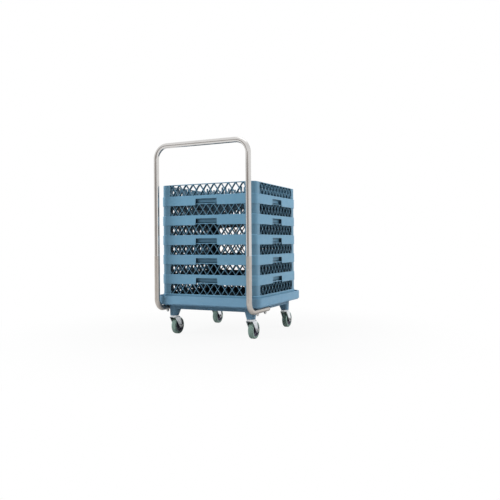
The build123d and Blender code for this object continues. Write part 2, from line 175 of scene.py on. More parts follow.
class BasketSizes(bpy.types.PropertyGroup):
    """Sizes of one dishwasher basket."""
    corner_radius: distance("Corner radius", "Outer radius of the skirt's corners", 31)
    skirt_height: distance("Skirt height", "Height of the plain lower band", 46)
    skirt_wall: distance("Skirt wall", "Thickness of the lower band", 2)
    shoulder: distance("Shoulder", "Height and inward step of the sloping shoulder", 2.8)
    shelf_thickness: distance("Shelf", "Thickness of the shelf under the shoulder", 3)
    wall_depth: distance("Wall depth", "Depth of the lattice and of the rim", 14)
    post_wall: distance("Post wall", "Thickness of the corner posts", 3)
    post_width: distance("Post width", "Width of a corner post along the side", 53.7)
    rim_height: distance("Rim height", "Height of the top rim", 3)
    lattice_pitch: distance("Lattice pitch", "Distance from cross to cross", 37.2)
    lattice_rib: distance("Lattice rib", "Width of a lattice rib", 2.3)
    floor_height: distance("Floor height", "Height of the floor's underside", 8)
    floor_thickness: distance("Floor thickness", "Thickness of the floor grid", 6)
    floor_border: distance("Floor border", "Width of the solid border of the floor", 19)
    floor_cell: distance("Floor cell", "Pitch of the floor grid", 33)
    floor_rib: distance("Floor rib", "Width of a rib of the floor grid", 3)
    notch_width: distance("Grip width", "Width of a finger grip", 114)
    notch_height: distance("Grip height", "Height of a finger grip", 30)
    notch_slope: distance("Grip slope", "Inward lean of each side of a finger grip", 2)
    notch_depth: distance("Grip depth", "Depth of a finger grip", 15)
    notch_wall: distance("Grip wall", "Wall round a finger grip", 3)
    peg_radius: distance("Peg foot", "Radius of a peg at its foot", 5)
    peg_tip_radius: distance("Peg tip", "Radius of a peg at its tip", 4)
    peg_height: distance("Peg height", "Height of a peg above the floor", 70)
    rounding: distance("Rounding", "Radius of the moulded edges", 0.6)
    peg_rows: IntProperty(name="Peg rows", description="Pegs in one column", default=12, min=1)
    peg_columns: IntProperty(name="Peg columns", description="Columns of pegs", default=4, min=1)
    peg_cells: IntProperty(name="Peg cells", description="Floor cells between columns",
                           default=3, min=1)
    pegged: IntProperty(name="Peg baskets", description="Baskets with pegs, from the top",
                        default=2, min=0)


class DeckSizes(bpy.types.PropertyGroup):
    """Sizes of the deck moulding."""
    corner_radius: distance("Corner radius", "Outer radius of the rim's corners", 40)
    rim_wall: distance("Rim wall", "Thickness of the raised rim", 6)
    rim_height: distance("Rim height", "Height of the raised rim", 39)
    rim_rounding: distance("Rim rounding", "Radius of the rim's edges", 1.6)
    ledge_width: distance("Ledge width", "Width of the inner ledge", 9)
    ledge_height: distance("Ledge height", "Height of the inner ledge", 8)
    tray_thickness: distance("Tray thickness", "Thickness of the pierced tray", 6)
    frame_inset: distance("Frame inset", "Distance of the under-frame from the rim", 48)
    frame_wall: distance("Frame wall", "Thickness of the under-frame", 6)
    frame_depth: distance("Frame depth", "Depth of the under-frame below the tray's top", 29)
    rib_wall: distance("Rib wall", "Thickness of a cross rib", 5)
    rib_depth: distance("Rib depth", "Depth of a cross rib below the tray", 22)
    window_side: distance("Window side", "Side of a window in the tray", 64)
    window_pitch: distance("Window pitch", "Distance from window to window", 84)
    window_radius: distance("Window radius", "Radius of a window's corners", 8)
    boss_side: distance("Boss side", "Side of a caster boss at its foot", 36)
    boss_radius: distance("Boss radius", "Radius of a boss's corners", 12)
    boss_spread: distance("Boss spread", "Growth of a boss from foot to tray", 22)
    boss_lean: distance("Boss lean", "Shift of a boss's top towards the middle", 7)
    pad_height: distance("Pad height", "Height of a pad over a handle leg", 3.2)
    pad_length: distance("Pad length", "Length of a pad over a handle leg", 34)
    pad_width: distance("Pad width", "Width of a pad over a handle leg", 24)
    pad_radius: distance("Pad radius", "Radius of a pad's corners", 2)
    rounding: distance("Rounding", "Radius of the smaller moulded edges", 1.0)
    windows: IntProperty(name="Windows", description="Windows along one side", default=5, min=1)


class HandleSizes(bpy.types.PropertyGroup):
    """Sizes of the bent tube handle."""
    wall: distance("Tube wall", "Wall thickness of the tubes", 1.5)
    bow_bend: distance("Bow bend", "Centreline radius of the upper bends", 60)
    leg_bend: distance("Leg bend", "Centreline radius of the lower bends", 47)
    plug_flange: distance("Plug flange", "Thickness of an end plug's flange", 3)
    plug_fit: distance("Plug fit", "Gap between a plug and the tube's bore", 0.1)
    bolt_radius: distance("Bolt radius", "Radius of the leg bolts and axle bolts", 4)
    screw_radius: distance("Screw radius", "Radius of a joint screw's shank", 2.5)
    socket_radius: distance("Socket radius", "Radius of the socket in a screw's head", 1.7)
    socket_depth: distance("Socket depth", "Depth of the socket in a screw's head", 1.2)


class CasterSizes(bpy.types.PropertyGroup):
    """Sizes of one swivel caster."""
    fork_sheet: distance("Fork sheet", "Sheet thickness of the fork's arms", 2.5)
    crown_sheet: distance("Crown sheet", "Sheet thickness of the fork's crown", 3)
    fork_bend: distance("Fork bend", "Outer bend radius of the fork", 5)
    eye_radius: distance("Eye radius", "Radius of the fork round the axle", 10.5)
    crown_length: distance("Crown length", "Length of the crown from front to back", 42)
    tread_shoulder: distance("Tread shoulder", "Radius of the tread's shoulders", 5)
    hub_radius: distance("Hub radius", "Radius of the wheel's hub", 12)
    hub_width: distance("Hub width", "Width of the wheel's hub", 28)
    web_thickness: distance("Web thickness", "Thickness of the wheel's disc", 10)
    rim_thickness: distance("Rim thickness", "Thickness of the wheel's rim", 5)
    rim_recess: distance("Rim recess", "How far the wheel's rim stays inside the tread", 1)
    tread_thickness: distance("Tread thickness", "Thickness of the tyre", 10)
    axle_radius: distance("Axle radius", "Radius of the axle bolt", 4)
    bore_radius: distance("Bore radius", "Radius of the hub's bore", 6.1)
    draft: distance("Draft", "Taper of the moulded steps", 0.7)


class Finishes(bpy.types.PropertyGroup):
    """Colours and gloss of the finishes."""
    basket: colour("Basket plastic", "Moulded polypropylene of the baskets", (0.158, 0.338, 0.485))
    deck: colour("Deck plastic", "Moulded polyethylene of the deck", (0.180, 0.354, 0.510))
    polished: colour("Polished steel", "Push bar", (0.67, 0.655, 0.64))
    satin: colour("Satin steel", "Handle legs", (0.56, 0.52, 0.48))
    zinc: colour("Zinc", "Forks and races", (0.80, 0.83, 0.86))
    hardware: colour("Fastener steel", "Bolts, nuts and screws", (0.55, 0.55, 0.54))
    wheel: colour("Wheel plastic", "Wheel cores", (0.09, 0.085, 0.12))
    tread: colour("Tread rubber", "Tyres", (0.235, 0.345, 0.30))
    plug: colour("Plug plastic", "Tube end plugs", (0.05, 0.05, 0.055))
    wear: share("Wear", "Strength of the rubbed edges and scuffs", 0.35)


class StageSettings(bpy.types.PropertyGroup):
    """Camera, floor and studio light."""
    camera_place: FloatVectorProperty(name="Camera place", description="Where the camera stands",
                                      default=(1.32469, -2.55798, 0.43715), subtype="TRANSLATION")
    camera_turn: FloatProperty(name="Camera turn", description="Turn of the camera to the left",
                               default=radians(25.33), subtype="ANGLE")
    camera_roll: FloatProperty(name="Camera roll", description="Tilt of the horizon",
                               default=radians(0.41), subtype="ANGLE")
    focal_pixels: FloatProperty(name="Focal length", description="In pixels of the picture",
                                default=580.33)
    picture_side: FloatProperty(name="Picture side", description="Pixels along the picture",
                                default=500.0)
    horizon_rise: FloatProperty(name="Horizon rise", description="Pixels above mid-picture",
                                default=7.04)
    floor_size: distance("Floor size", "Side of the floor", 60000)
    side_lamp: power("Side lamp", "Softbox on the right", 90.0)
    front_lamp: power("Front lamp", "Softbox at the front left", 132.0)
    top_lamp: power("Top lamp", "Softbox above the trolley", 12.0)
    back_lamp: power("Back lamp", "Softbox behind the trolley", 60.0)
    sky: share("Sky", "Brightness of the surrounding studio", 0.03)
    floor_tone: share("Floor", "Grey level of the floor", 0.55)
    floor_glow: share("Floor glow", "How far the floor is lifted to white for the camera", 0.92)
    card_tone: share("Card", "Brightness of the grey card that the steel mirrors", 0.38)


# Modelling helpers: selection, edit mode, modifiers and copies.

def deselect():
    bpy.ops.object.select_all(action="DESELECT")


def activate(piece):
    deselect()
    bpy.context.view_layer.objects.active = piece
    piece.select_set(True)


@contextmanager
def editing(piece):
    """Edit mode on one piece."""
    activate(piece)
    bpy.ops.object.mode_set(mode="EDIT")
    yield
    bpy.ops.object.mode_set(mode="OBJECT")


def pick(piece, kind, test=lambda part: True):
    """Selects the vertices, edges or faces of the edited piece that pass a test."""
    bpy.ops.mesh.select_mode(type={"verts": "VERT", "edges": "EDGE", "faces": "FACE"}[kind])
    bpy.ops.mesh.select_all(action="DESELECT")
    shape = bmesh.from_edit_mesh(piece.data)
    for part in getattr(shape, kind):
        if test(part):
            part.select_set(True)
    shape.select_flush_mode()
    bmesh.update_edit_mesh(piece.data)


def newest(name):
    """The primitive that was just added, named, with its place and size in its mesh."""
    piece = bpy.context.object
    piece.name = name
    bpy.ops.object.transform_apply()
    return piece


def lift(x=0.0, y=0.0, z=0.0):
    bpy.ops.mesh.extrude_region_move(TRANSFORM_OT_translate={"value": (x, y, z)})


def outward_faces():
    bpy.ops.mesh.select_all(action="SELECT")
    bpy.ops.mesh.remove_doubles(threshold=TINY)
    bpy.ops.mesh.normals_make_consistent(inside=False)


def modify(piece, kind, **settings):
    """Adds one modifier with these settings and applies it."""
    modifier = piece.modifiers.new(kind.title(), kind)
    for setting, value in settings.items():
        setattr(modifier, setting, value)
    activate(piece)
    bpy.ops.object.modifier_apply(modifier=modifier.name)


def round_edges(piece, width, segments=2, angle=35):
    modify(piece, "BEVEL", width=width, segments=segments, limit_method="ANGLE",
           angle_limit=radians(angle), use_clamp_overlap=True, miter_outer="MITER_ARC")


def combine(piece, tool, operation):
    """Joins, cuts or trims a piece with another closed shape, which is used up."""
    modify(piece, "BOOLEAN", operation=operation, object=tool, solver="EXACT")
    bpy.data.objects.remove(tool)


def smooth(piece, angle=40):
    activate(piece)
    bpy.ops.object.shade_smooth_by_angle(angle=radians(angle))
    modify(piece, "WEIGHTED_NORMAL", keep_sharp=True, weight=60)


def joined(name, pieces):
    deselect()
    for piece in pieces:
        piece.select_set(True)
    bpy.context.view_layer.objects.active = pieces[0]
    if len(pieces) > 1:
        bpy.ops.object.join()
    pieces[0].name = name
    return pieces[0]


def copied(pattern, place, name=None):
    """A copy with a mesh of its own, moved or turned in its mesh."""
    piece = pattern.copy()
    piece.data = pattern.data.copy()
    piece.data.transform(place)
    piece.name = name or pattern.name
    bpy.context.scene.collection.objects.link(piece)
    return piece


def four_sides(pattern):
    """The pattern and its three copies turned round the vertical axis."""
    turns = [Matrix.Rotation(quarter * QUARTER_TURN, 4, "Z") for quarter in range(1, 4)]
    return [pattern] + [copied(pattern, turn) for turn in turns]


def stand_for(piece, slot, *nodes):
    """The piece takes the place of these nodes and moves with their body; the slot is not used."""
    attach(piece, BODY_OF[nodes[0]])
    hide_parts(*nodes)


def span(node):
    """Lowest corner, highest corner and middle of a node."""
    low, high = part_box(node)
    return low, high, (low + high) / 2


# Shapes that several pieces start from.

def slab(name, width, length, height, place, radius=0.0, steps=8):
    """An upright block with rounded corners; place is the middle of its underside."""
    bpy.ops.mesh.primitive_plane_add(size=1, location=place, scale=(1, 1, 1))
    bpy.context.object.scale = (width, length, 1)
    piece = newest(name)
    with editing(piece):
        if radius:
            pick(piece, "verts")
            bpy.ops.mesh.bevel(offset=radius, segments=steps, affect="VERTICES",
                               clamp_overlap=False)
        pick(piece, "faces")
        lift(z=height)
        outward_faces()
    return piece


def wall_ring(name, half, radius, bottom, over, under, steps=10):
    """A closed wall round a rounded square. Over are its moves from the outer foot across the top,
    under those from the same foot along the inside, each an inward and an upward distance;
    the two ends are then joined."""
    bpy.ops.mesh.primitive_plane_add(size=2 * half, location=(0, 0, bottom))
    piece = newest(name)
    with editing(piece):
        pick(piece, "verts")
        bpy.ops.mesh.bevel(offset=radius, segments=steps, affect="VERTICES", clamp_overlap=False)
        pick(piece, "faces")
        for inward, upward in over:
            step_face(inward, upward)
        foot = bottom + TINY
        pick(piece, "faces", lambda face: is_cap(face) and face.calc_center_median().z < foot)
        for inward, upward in under:
            step_face(inward, upward)
        pick(piece, "faces", is_cap)
        bpy.ops.mesh.bridge_edge_loops()
        outward_faces()
    return piece


def is_cap(face):
    return len(face.verts) > 4


def step_face(inward, upward):
    """Draws the selected flat face inward, or straight up or down when it stays as wide."""
    if inward:
        bpy.ops.mesh.inset(thickness=inward, depth=0.0)
        bpy.ops.transform.translate(value=(0, 0, upward))
    else:
        lift(z=upward)


def plain_ring(name, half, radius, low, height, wall, steps=10):
    """An upright wall of even thickness round a rounded square."""
    return wall_ring(name, half, radius, low, [(0, height), (wall, 0)], [(wall, 0)], steps)


def rod(name, axis, start, end, radius, middle, sides=48):
    """A round bar along an axis from start to end, through the middle in the other two."""
    place = Vector(middle)
    place[axis] = (start + end) / 2
    bpy.ops.mesh.primitive_cylinder_add(vertices=sides, radius=radius, depth=abs(end - start),
                                        location=place, rotation=(ALONG_X, ALONG_Y, UPRIGHT)[axis])
    return newest(name)


def thickened(plate, edge, outer, low, thickness, radius):
    """Draws a pierced plate's border out from edge to outer, gives the plate its thickness
    and trims it to a rounded square."""
    with editing(plate):
        pick(plate, "edges", lambda line: line.is_boundary and on_border(line, edge))
        bpy.ops.mesh.extrude_edges_move()
        bpy.ops.transform.resize(value=(outer / edge, outer / edge, 1), center_override=(0, 0, low))
        pick(plate, "faces")
        lift(z=thickness)
        outward_faces()
    trim = slab("trim", 2 * outer, 2 * outer, 2 * thickness, (0, 0, low - thickness / 2), radius)
    combine(plate, trim, "INTERSECT")


def beyond(face, limit):
    middle = face.calc_center_median()
    return abs(middle.x) > limit and abs(middle.y) > limit


def on_border(line, edge):
    return any(all(abs(abs(vert.co[axis]) - edge) < TINY for vert in line.verts) for axis in (0, 1))


def mark_painted_shade(piece, share_of):
    """Stores on each face its share of painted shade: 0 outside, 1 well inside."""
    layer = piece.data.attributes.new(PAINTED_SHADE_LAYER, "FLOAT", "FACE")
    for index, face in enumerate(piece.data.polygons):
        layer.data[index].value = share_of(face)


# Materials: every finish is a small node tree on Object coordinates.

class NodeTree:
    """A node tree, and the few moves that every material here is made of."""

    def __init__(self, owner):
        owner.use_nodes = True
        self.nodes = owner.node_tree.nodes
        self.links = owner.node_tree.links

    def fill(self, node, inputs):
        """Sets inputs of a node; each is a value or another node's output."""
        for name, value in inputs.items():
            if isinstance(value, bpy.types.NodeSocket):
                self.links.new(value, node.inputs[name])
            else:
                node.inputs[name].default_value = value

    def add(self, kind, inputs, **settings):
        """The outputs of a new node with these settings and inputs."""
        node = self.nodes.new("ShaderNode" + kind)
        for name, value in settings.items():
            setattr(node, name, value)
        self.fill(node, inputs)
        return node.outputs

    def maths(self, operation, first, second):
        return self.add("Math", {0: first, 1: second}, operation=operation)[0]

    def between(self, source, low, high, start=0.0, end=1.0, kind="LINEAR"):
        """Maps a value from low..high to start..end, clamped."""
        inputs = {"Value": source, "From Min": low, "From Max": high,
                  "To Min": start, "To Max": end}
        return self.add("MapRange", inputs, interpolation_type=kind)["Result"]

    def background_share(self, mirrored=1.0):
        """One where the camera or glass looks at the background and as much as mirrored where
        a shiny surface does, else nothing."""
        rays = self.add("LightPath", {})
        glossy = self.maths("MULTIPLY", rays["Is Glossy Ray"], mirrored)
        seen = self.maths("MAXIMUM", rays["Is Camera Ray"], glossy)
        return self.maths("MAXIMUM", seen, rays["Is Transmission Ray"])

    def mix_out(self, share, first, second, output):
        """Sends two shaders, mixed by share, to the tree's output."""
        mix = self.add("MixShader", {0: share, 1: first, 2: second})
        self.links.new(mix[0], self.nodes[output].inputs["Surface"])


class Finish(NodeTree):
    """A material whose colour, roughness and bump are built up layer by layer."""

    def __init__(self, name, base, roughness, metallic=0.0):
        self.material = bpy.data.materials.new(name)
        super().__init__(self.material)
        self.base = base
        self.shader = {"Base Color": (*base, 1), "Roughness": roughness, "Metallic": metallic}
        self.place = self.add("TexCoord", {})["Object"]

    def noise(self, size, detail=3.0, stretch=(1, 1, 1)):
        """Noise with features of about this size in metres, from 0 to 1."""
        place = self.add("Mapping", {"Vector": self.place, "Scale": stretch})["Vector"]
        inputs = {"Vector": place, "Scale": 1 / size, "Detail": detail}
        return self.add("TexNoise", inputs)["Fac"]

    def toned(self, factor, pale=0.0):
        """The base colour made darker by a factor, or paler by what is added."""
        return [min(1.0, part * factor + pale) for part in self.base]

    def paint(self, mask, shade):
        """Mixes a shade in where the mask is high."""
        inputs = {"Factor": mask, "A": self.shader["Base Color"], "B": (*shade, 1)}
        self.shader["Base Color"] = self.add("Mix", inputs, data_type="RGBA")["Result"]

    def rubbed_edges(self, strength):
        """Convex edges, broken up by noise."""
        point = self.add("NewGeometry", {})["Pointiness"]
        edge = self.between(point, *EDGE_POINTINESS, end=strength)
        gaps = self.between(self.noise(12 * MM), low=0.4, high=0.65)
        return self.maths("MULTIPLY", edge, gaps)

    def paint_inner_shade(self, depth):
        """Paints shade into the base colour: darkens it where the mesh says that a face is an inner
        one.
        """
        inner = self.add("Attribute", {}, attribute_name=PAINTED_SHADE_LAYER)["Fac"]
        self.paint(inner, self.toned(1 - depth))

    def rough(self, source, low, high):
        self.shader["Roughness"] = self.between(source, *NOISE_RANGE, start=low, end=high)

    def bump(self, source, strength, depth):
        inputs = {"Height": source, "Strength": strength, "Distance": depth}
        if "Normal" in self.shader:
            inputs["Normal"] = self.shader["Normal"]
        self.shader["Normal"] = self.add("Bump", inputs)["Normal"]

    def done(self):
        self.fill(self.nodes["Principled BSDF"], self.shader)
        return self.material


def moulded_plastic(name, base, wear, roughness, grain):
    """Moulded plastic: fine grain, faint flow clouds, pale rubbed edges, light scuffs and painted
    shade on the faces inside.
    """
    finish = Finish(name, base, roughness)
    clouds = finish.noise(90 * MM, detail=4)
    finish.paint(finish.between(clouds, low=0.35, high=0.7, end=0.5), finish.toned(0.88))
    scuffs = finish.between(finish.noise(30 * MM, detail=8, stretch=(1, 1, 6)),
                            low=0.60, high=0.72, end=wear)
    finish.paint(scuffs, finish.toned(0.8, pale=0.12))
    finish.paint(finish.rubbed_edges(wear), finish.toned(0.7, pale=0.22))
    finish.paint_inner_shade(PAINTED_SHADE_DEPTH)
    finish.rough(finish.noise(20 * MM, detail=5), low=roughness - 0.07, high=roughness + 0.09)
    finish.bump(finish.noise(grain, detail=2), strength=0.25, depth=0.06 * MM)
    finish.bump(finish.noise(50 * MM, detail=1), strength=0.15, depth=0.4 * MM)
    finish.shader["Specular IOR Level"] = 0.3
    return finish.done()


def drawn_steel(name, base, wear, roughness, streak):
    """Steel with fine lines along the tube, faint handling smudges and small pits."""
    finish = Finish(name, base, roughness, metallic=1.0)
    lines = finish.noise(streak, detail=4, stretch=(1, 1, 0.02))
    finish.paint(finish.between(lines, low=0.35, high=0.7, end=0.4), finish.toned(0.82))
    smudges = finish.noise(40 * MM, detail=6)
    finish.paint(finish.between(smudges, low=0.5, high=0.75, end=wear), finish.toned(0.75))
    finish.rough(smudges, low=roughness * 0.75, high=roughness * 1.35)
    finish.bump(lines, strength=0.12, depth=0.02 * MM)
    return finish.done()


def zinc_plate(name, base, wear, roughness):
    """Bright zinc plating: small soft spangles, with grey rubbed edges."""
    finish = Finish(name, base, roughness, metallic=1.0)
    spangle = finish.add("TexVoronoi", {"Vector": finish.place, "Scale": 1 / (6 * MM)})["Distance"]
    finish.paint(finish.between(spangle, low=0.1, high=0.8, end=0.3), finish.toned(0.85))
    stains = finish.noise(20 * MM, detail=6)
    finish.paint(finish.between(stains, low=0.55, high=0.75, end=wear), finish.toned(0.6))
    finish.paint(finish.rubbed_edges(wear), finish.toned(0.7))
    finish.rough(finish.noise(10 * MM, detail=4), low=roughness * 0.8, high=roughness * 1.3)
    finish.bump(finish.noise(2 * MM, detail=2), strength=0.2, depth=0.03 * MM)
    return finish.done()


def tread_rubber(name, base, wear, roughness):
    """Solid rubber: matt, dusty, with small nicks and floor dirt."""
    finish = Finish(name, base, roughness)
    dirt = finish.noise(12 * MM, detail=6)
    finish.paint(finish.between(dirt, low=0.45, high=0.7, end=0.6), finish.toned(0.72))
    dust = finish.noise(30 * MM, detail=4)
    finish.paint(finish.between(dust, low=0.5, high=0.8, end=wear), finish.toned(0.6, pale=0.16))
    finish.rough(finish.noise(15 * MM, detail=4), low=roughness - 0.12, high=roughness + 0.12)
    finish.bump(finish.noise(1.5 * MM, detail=3), strength=0.35, depth=0.08 * MM)
    return finish.done()


# The maker of each slot's finish, its colour in Finishes, its roughness and the size of its grain.
FINISH_OF = {
    "basket_plastic": (moulded_plastic, "basket", 0.42, 0.9 * MM),
    "deck_plastic": (moulded_plastic, "deck", 0.48, 1.6 * MM),
    "plug_plastic": (moulded_plastic, "plug", 0.5, 1.0 * MM),
    "wheel_plastic": (moulded_plastic, "wheel", 0.4, 1.2 * MM),
    "polished_steel": (drawn_steel, "polished", 0.14, 1.2 * MM),
    "satin_steel": (drawn_steel, "satin", 0.36, 0.6 * MM),
    "zinc": (zinc_plate, "zinc", 0.26),
    "hardware": (zinc_plate, "hardware", 0.34),
    "tread_rubber": (tread_rubber, "tread", 0.62),
}


def material(slot):
    """The finish of a slot, made when it is first asked for. It has a name of its own, because the
    CAD part brings a flat material that is named like the slot."""
    tones = bpy.context.scene.trolley_finishes
    make, tone, *settings = FINISH_OF[slot]
    name = slot + "_finish"
    return bpy.data.materials.get(name) or make(name, getattr(tones, tone), tones.wear, *settings)


def dress(piece, slot):
    piece.data.materials.clear()
    piece.data.materials.append(material(slot))


def finished(name, parts, slot, *nodes):
    """Joins the parts to one smooth piece with its finish, which takes the place of its nodes."""
    piece = joined(name, parts)
    smooth(piece)
    dress(piece, slot)
    stand_for(piece, slot, *nodes)


# Basket, modelled about its own middle with its foot at height 0.

def basket_skirt(sizes, half):
    shelf = sizes.shoulder + sizes.wall_depth
    straight = sizes.skirt_height - sizes.shoulder
    over = [(0, straight), (sizes.shoulder, sizes.shoulder), (sizes.wall_depth, 0)]
    under = [(sizes.skirt_wall, 0), (0, straight - sizes.shelf_thickness),
             (shelf - sizes.skirt_wall, 0)]
    return wall_ring("skirt", half, sizes.corner_radius, 0, over, under)


def grip_block(name, sizes, grow, near, far, low, high):
    """A block across the front grip with leaning sides, from y = near to far."""
    width = sizes.notch_width + 2 * grow
    block = slab(name, width, far - near, high - low, (0, (near + far) / 2, low))
    lean = (width - 2 * sizes.notch_slope) / width
    with editing(block):
        pick(block, "verts", lambda vert: vert.co.z > (low + high) / 2)
        bpy.ops.transform.resize(value=(lean, 1, 1), center_override=(0, 0, high))
    return block


def grip_cutter(sizes, half):
    cutter = grip_block("grip cutter", sizes, 0, -half - UNDERLAP,
                        -half + sizes.notch_depth, -UNDERLAP, sizes.notch_height)
    return joined("grip cutter", four_sides(cutter))


def grip_shells(sizes, half):
    near = -half + sizes.skirt_wall - UNDERLAP
    far = -half + sizes.notch_depth + sizes.notch_wall
    low = sizes.floor_height + UNDERLAP
    shell = grip_block("grip shell", sizes, sizes.notch_wall, near, far, low,
                       sizes.notch_height + sizes.notch_wall)
    return joined("grip shells", four_sides(shell))


def basket_floor(sizes, half):
    """A square grid in a solid border, trimmed to the skirt's rounded corners."""
    edge = half - sizes.floor_border
    cell = sizes.floor_cell
    cells = 2 * round(edge / cell) + 1
    bpy.ops.mesh.primitive_grid_add(x_subdivisions=cells, y_subdivisions=cells, size=cells * cell,
                                    location=(0, 0, sizes.floor_height))
    plate = newest("floor")
    with editing(plate):
        for direction in ((1, 0, 0), (-1, 0, 0), (0, 1, 0), (0, -1, 0)):
            bpy.ops.mesh.select_all(action="SELECT")
            bpy.ops.mesh.bisect(plane_co=[edge * part for part in direction], plane_no=direction,
                                clear_outer=True)
        pick(plate, "faces")
        bpy.ops.mesh.inset(thickness=sizes.floor_rib / 2, use_individual=True)
        holes = [face.index for face in bmesh.from_edit_mesh(plate.data).faces if face.select]
        pick(plate, "faces", lambda face: face.index in holes and not beyond(face, edge - cell / 2))
        bpy.ops.mesh.delete(type="FACE")
    thickened(plate, edge, half - sizes.skirt_wall + UNDERLAP, sizes.floor_height,
              sizes.floor_thickness, sizes.corner_radius - sizes.skirt_wall + UNDERLAP)
    return plate


def corner_posts(sizes, half):
    """Four rounded angle posts between the skirt and the rim."""
    upper = half - sizes.shoulder
    low = sizes.skirt_height - UNDERLAP
    foot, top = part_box(BASKETS[0])
    high = top.z - foot.z - sizes.rim_height + UNDERLAP
    post = plain_ring("posts", upper, sizes.corner_radius - sizes.shoulder, low, high - low,
                      sizes.post_wall)
    inner = half - sizes.post_width
    with editing(post):
        for direction in ((-1, 0, 0), (0, -1, 0)):
            bpy.ops.mesh.select_all(action="SELECT")
            bpy.ops.mesh.bisect(plane_co=[-inner * part for part in direction], plane_no=direction,
                                clear_outer=True, use_fill=True)
        outward_faces()
    round_edges(post, sizes.rounding / 2)
    return four_sides(post)


def lattice_side(sizes, half, height):
    """The row of crosses between two posts, pierced from one plate."""
    edge = half - sizes.post_width + sizes.lattice_rib / 2
    low = sizes.skirt_height - sizes.lattice_rib / 2
    high = height - sizes.rim_height + sizes.lattice_rib / 2
    pitch = sizes.lattice_pitch
    cells = 2 * (round(edge / pitch) + 1)
    front = -(half - sizes.shoulder)
    bpy.ops.mesh.primitive_grid_add(x_subdivisions=cells, y_subdivisions=1, size=1,
                                    location=(0, front, (low + high) / 2), rotation=ALONG_Y)
    bpy.context.object.scale = (cells * pitch, high - low, 1)
    plate = newest("lattice")
    with editing(plate):
        pick(plate, "faces")
        bpy.ops.mesh.poke()
        pick(plate, "edges", lambda line: same_x(line) and not line.is_boundary)
        bpy.ops.mesh.dissolve_edges(use_verts=False)
        for side in (-1, 1):
            bpy.ops.mesh.select_all(action="SELECT")
            bpy.ops.mesh.bisect(plane_co=(side * edge, 0, 0), plane_no=(side, 0, 0),
                                clear_outer=True)
        pick(plate, "faces")
        bpy.ops.mesh.inset(thickness=sizes.lattice_rib / 2, use_individual=True)
        bpy.ops.mesh.delete(type="FACE")
        pick(plate, "faces")
        lift(y=sizes.wall_depth)
        outward_faces()
    round_edges(plate, sizes.rounding)
    return four_sides(plate)


def same_x(line):
    """True for an edge that doesn't move along X."""
    first, second = line.verts
    return abs(first.co.x - second.co.x) < TINY


def basket_rim(sizes, half, height):
    rim = plain_ring("rim", half - sizes.shoulder, sizes.corner_radius - sizes.shoulder,
                     height - sizes.rim_height, sizes.rim_height, sizes.wall_depth)
    round_edges(rim, 2 * sizes.rounding, segments=3)
    return rim


def basket_pegs(sizes):
    foot = sizes.floor_height + sizes.floor_thickness - UNDERLAP
    length = sizes.peg_height + UNDERLAP
    bpy.ops.mesh.primitive_cone_add(vertices=12, radius1=sizes.peg_radius,
                                    radius2=sizes.peg_tip_radius, depth=length,
                                    location=(0, 0, foot + length / 2))
    pattern = newest("peg")
    round_edges(pattern, sizes.peg_tip_radius / 2, angle=50)
    pegs = []
    for column in range(sizes.peg_columns):
        x = (column - (sizes.peg_columns - 1) / 2) * sizes.peg_cells * sizes.floor_cell
        for row in range(sizes.peg_rows):
            y = (row - (sizes.peg_rows - 1) / 2) * sizes.floor_cell
            pegs.append(copied(pattern, Matrix.Translation((x, y, 0))))
    bpy.data.objects.remove(pattern)
    return pegs


def looks_out(face):
    """How far a face looks away from the basket's middle, from -1 to 1."""
    axis = 0 if abs(face.center.x) > abs(face.center.y) else 1
    return face.normal[axis] * (1 if face.center[axis] > 0 else -1)


def moulding_shade_share(face, inside):
    """Share of painted shade: nothing on faces that look out or up at the outside, some in the
    grips, most on the floor, all elsewhere."""
    reach = max(abs(face.center.x), abs(face.center.y))
    looks_up = face.normal.z > UPWARD
    if reach < inside and looks_up:
        return FLOOR_SHADE
    if reach < inside or looks_out(face) < SIDEWAYS and not looks_up:
        return 1.0
    return GRIP_SHADE if reach < inside + 3 * UNDERLAP else 0.0


def rib_shade_share(face):
    """Share of painted shade: nothing on the outer side of a rib, less on what looks up, all on the
    rest.
    """
    if looks_out(face) > OUTWARD:
        return 0.0
    return RIB_TOP_SHADE if face.normal.z > PARTLY_UP else 1.0


# Painted shade: all on a post's inner faces, a share on the rest.
def post_shade_share(face):
    return 1.0 if looks_out(face) < -SIDEWAYS else POST_SHADE


def basket_pattern(sizes, with_pegs):
    low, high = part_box(BASKETS[0])
    half, height = (high.x - low.x) / 2, high.z - low.z
    inside = half - sizes.notch_depth - UNDERLAP
    moulded = [basket_skirt(sizes, half), grip_shells(sizes, half), basket_floor(sizes, half)]
    for part in moulded:
        combine(part, grip_cutter(sizes, half), "DIFFERENCE")
        round_edges(part, sizes.rounding)
    # Each group of parts with its share of painted shade.
    shaded = [
        (moulded + [basket_rim(sizes, half, height)], lambda face: moulding_shade_share(face, inside)),
        (corner_posts(sizes, half), post_shade_share),
        (lattice_side(sizes, half, height), rib_shade_share),
        (basket_pegs(sizes) if with_pegs else [], lambda face: PEG_SHADE),
    ]
    parts = []
    for same_shade, share_of in shaded:
        for part in same_shade:
            mark_painted_shade(part, share_of)
        parts += same_shade
    basket = joined("basket", parts)
    smooth(basket)
    dress(basket, "basket_plastic")
    return basket


